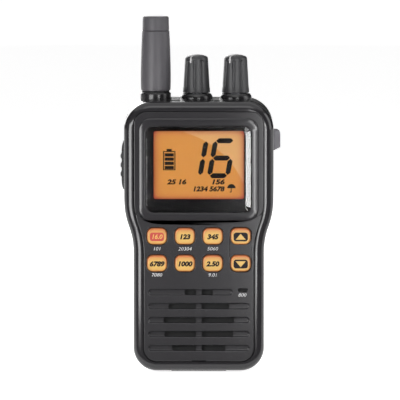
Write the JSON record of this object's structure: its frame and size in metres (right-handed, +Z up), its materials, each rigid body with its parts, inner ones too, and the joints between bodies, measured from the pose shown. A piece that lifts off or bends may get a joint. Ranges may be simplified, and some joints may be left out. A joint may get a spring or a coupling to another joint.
{
  "type": "handheld marine radio",
  "caption": "Palm-size handheld marine radio with amber display, keypad, speaker grille, two knobs, stub antenna, talk button, tilt-off battery and belt clip.",
  "frame": {"origin": "on the table, under the middle of the base", "axes": "+X to the right seen from the front, the front faces -Y, +Z up"},
  "size_m": [0.0685, 0.0462, 0.1513],
  "materials": {
    "case_plastic": "fine moulded grain, black",
    "panel_plastic": "satin moulded, black",
    "knob_plastic": "satin moulded, black",
    "latch_plastic": "moulded, black",
    "clip_plastic": "moulded, black",
    "black_plastic": "moulded, black",
    "antenna_rubber": "satin, dark grey",
    "button_rubber": "matt, black",
    "grey_rubber": "matt, mid grey",
    "gasket_rubber": "matt, black",
    "mat_rubber": "translucent silicone",
    "key_amber": "back-lit amber, soft gloss",
    "lens_clear": "clear window",
    "lcd_amber": "amber back-lit display",
    "light_guide": "clear acrylic, frosted back",
    "membrane": "woven, water shedding",
    "speaker_steel": "black, pressed",
    "cone_paper": "coated paper",
    "magnet": "bare ferrite",
    "bright_metal": "nickel plated",
    "screw_steel": "blackened",
    "spring_steel": "bright wire",
    "brass_metal": "machined",
    "board_green": "solder mask",
    "cell_wrap": "shrink sleeve"
  },
  "bodies": {
    "radio": {"front_case": "case_plastic", "rear_case": "case_plastic", "case_gasket": "gasket_rubber", "case_screws": "screw_steel", "front_panel": "panel_plastic", "display_surround": "panel_plastic", "display_lens": "lens_clear", "lcd_glass": "lcd_amber", "backlight_guide": "light_guide", "keypad_mat": "mat_rubber", "speaker_membrane": "membrane", "speaker_frame": "speaker_steel", "speaker_cone": "cone_paper", "speaker_magnet": "magnet", "microphone": "bright_metal", "control_board": "board_green", "radio_board": "board_green", "rf_shield": "bright_metal", "board_connector": "black_plastic", "pot_nuts": "screw_steel", "shaft_seals": "gasket_rubber", "volume_pot": "black_plastic", "squelch_pot": "black_plastic", "antenna_socket": "brass_metal", "talk_switch": "black_plastic", "accessory_jack": "black_plastic", "contact_block": "black_plastic", "battery_contacts": "brass_metal"},
    "key_red_cap": {"key_red": "key_amber"},
    "key_weather_cap": {"key_weather": "key_amber"},
    "key_channel_cap": {"key_channel": "key_amber"},
    "key_up_cap": {"key_up": "key_amber"},
    "key_scan_cap": {"key_scan": "key_amber"},
    "key_memory_cap": {"key_memory": "key_amber"},
    "key_power_cap": {"key_power": "key_amber"},
    "key_down_cap": {"key_down": "key_amber"},
    "volume_control": {"volume_knob": "knob_plastic", "volume_shaft": "bright_metal"},
    "squelch_control": {"squelch_knob": "knob_plastic", "squelch_shaft": "bright_metal"},
    "antenna_lift": {"antenna_seal": "gasket_rubber"},
    "antenna": {"antenna_stud": "bright_metal", "antenna_sheath": "antenna_rubber", "antenna_cap": "antenna_rubber"},
    "talk": {"talk_button": "button_rubber"},
    "jack_flap": {"jack_cover": "grey_rubber"},
    "battery": {"battery_case": "case_plastic", "battery_lid": "case_plastic", "battery_terminals": "brass_metal", "battery_cells": "cell_wrap", "clip_bracket": "black_plastic", "clip_screws": "screw_steel", "clip_pin": "bright_metal"},
    "latch": {"battery_latch": "latch_plastic"},
    "clip": {"belt_clip": "clip_plastic", "clip_spring": "spring_steel"}
  },
  "joints": [
    {"name": "key_red_press", "type": "slide", "parent": "radio", "child": "key_red_cap", "axis": [0, 1, 0], "range_m": [0, 0.0008], "stiffness_N_per_m": 1500, "springref_m": -0.0002},
    {"name": "key_weather_press", "type": "slide", "parent": "radio", "child": "key_weather_cap", "axis": [0, 1, 0], "range_m": [0, 0.0008], "stiffness_N_per_m": 1500, "springref_m": -0.0002},
    {"name": "key_channel_press", "type": "slide", "parent": "radio", "child": "key_channel_cap", "axis": [0, 1, 0], "range_m": [0, 0.0008], "stiffness_N_per_m": 1500, "springref_m": -0.0002},
    {"name": "key_up_press", "type": "slide", "parent": "radio", "child": "key_up_cap", "axis": [0, 1, 0], "range_m": [0, 0.0008], "stiffness_N_per_m": 1500, "springref_m": -0.0002},
    {"name": "key_scan_press", "type": "slide", "parent": "radio", "child": "key_scan_cap", "axis": [0, 1, 0], "range_m": [0, 0.0008], "stiffness_N_per_m": 1500, "springref_m": -0.0002},
    {"name": "key_memory_press", "type": "slide", "parent": "radio", "child": "key_memory_cap", "axis": [0, 1, 0], "range_m": [0, 0.0008], "stiffness_N_per_m": 1500, "springref_m": -0.0002},
    {"name": "key_power_press", "type": "slide", "parent": "radio", "child": "key_power_cap", "axis": [0, 1, 0], "range_m": [0, 0.0008], "stiffness_N_per_m": 1500, "springref_m": -0.0002},
    {"name": "key_down_press", "type": "slide", "parent": "radio", "child": "key_down_cap", "axis": [0, 1, 0], "range_m": [0, 0.0008], "stiffness_N_per_m": 1500, "springref_m": -0.0002},
    {"name": "volume_turn", "type": "hinge", "parent": "radio", "child": "volume_control", "pos_m": [-0.001, 0.004, 0.125], "axis": [0, 0, 1], "range_deg": [-300, 0]},
    {"name": "squelch_turn", "type": "hinge", "parent": "radio", "child": "squelch_control", "pos_m": [0.0158, 0.004, 0.125], "axis": [0, 0, 1], "range_deg": [-300, 0]},
    {"name": "antenna_rise", "type": "slide", "parent": "radio", "child": "antenna_lift", "axis": [0, 0, 1], "range_m": [0, 0.0064]},
    {"name": "antenna_unscrew", "type": "hinge", "parent": "antenna_lift", "child": "antenna", "pos_m": [-0.0185, 0.004, 0.118], "axis": [0, 0, 1], "range_deg": [0, 2880]},
    {"name": "talk_press", "type": "slide", "parent": "radio", "child": "talk", "axis": [1, 0, 0], "range_m": [0, 0.0012], "stiffness_N_per_m": 2500, "springref_m": -0.0003},
    {"name": "jack_flap_open", "type": "hinge", "parent": "radio", "child": "jack_flap", "pos_m": [0.03195, 0.0044, 0.0985], "axis": [0, 0, 1], "range_deg": [0, 90], "stiffness_Nm_per_rad": 0.004},
    {"name": "battery_tilt", "type": "hinge", "parent": "radio", "child": "battery", "pos_m": [0, 0.00855, 0.0034], "axis": [1, 0, 0], "range_deg": [-25, 0]},
    {"name": "latch_lift", "type": "slide", "parent": "radio", "child": "latch", "axis": [0, 0, 1], "range_m": [-0.0024, 0]},
    {"name": "clip_open", "type": "hinge", "parent": "battery", "child": "clip", "pos_m": [0, 0.02195, 0.076], "axis": [1, 0, 0], "range_deg": [0, 18], "stiffness_Nm_per_rad": 0.25, "springref_deg": -5.73}
  ],
  "couplings": [
    {"joint": "antenna_rise", "follows": "antenna_unscrew", "m_per_rad": 0.00012732}
  ]
}
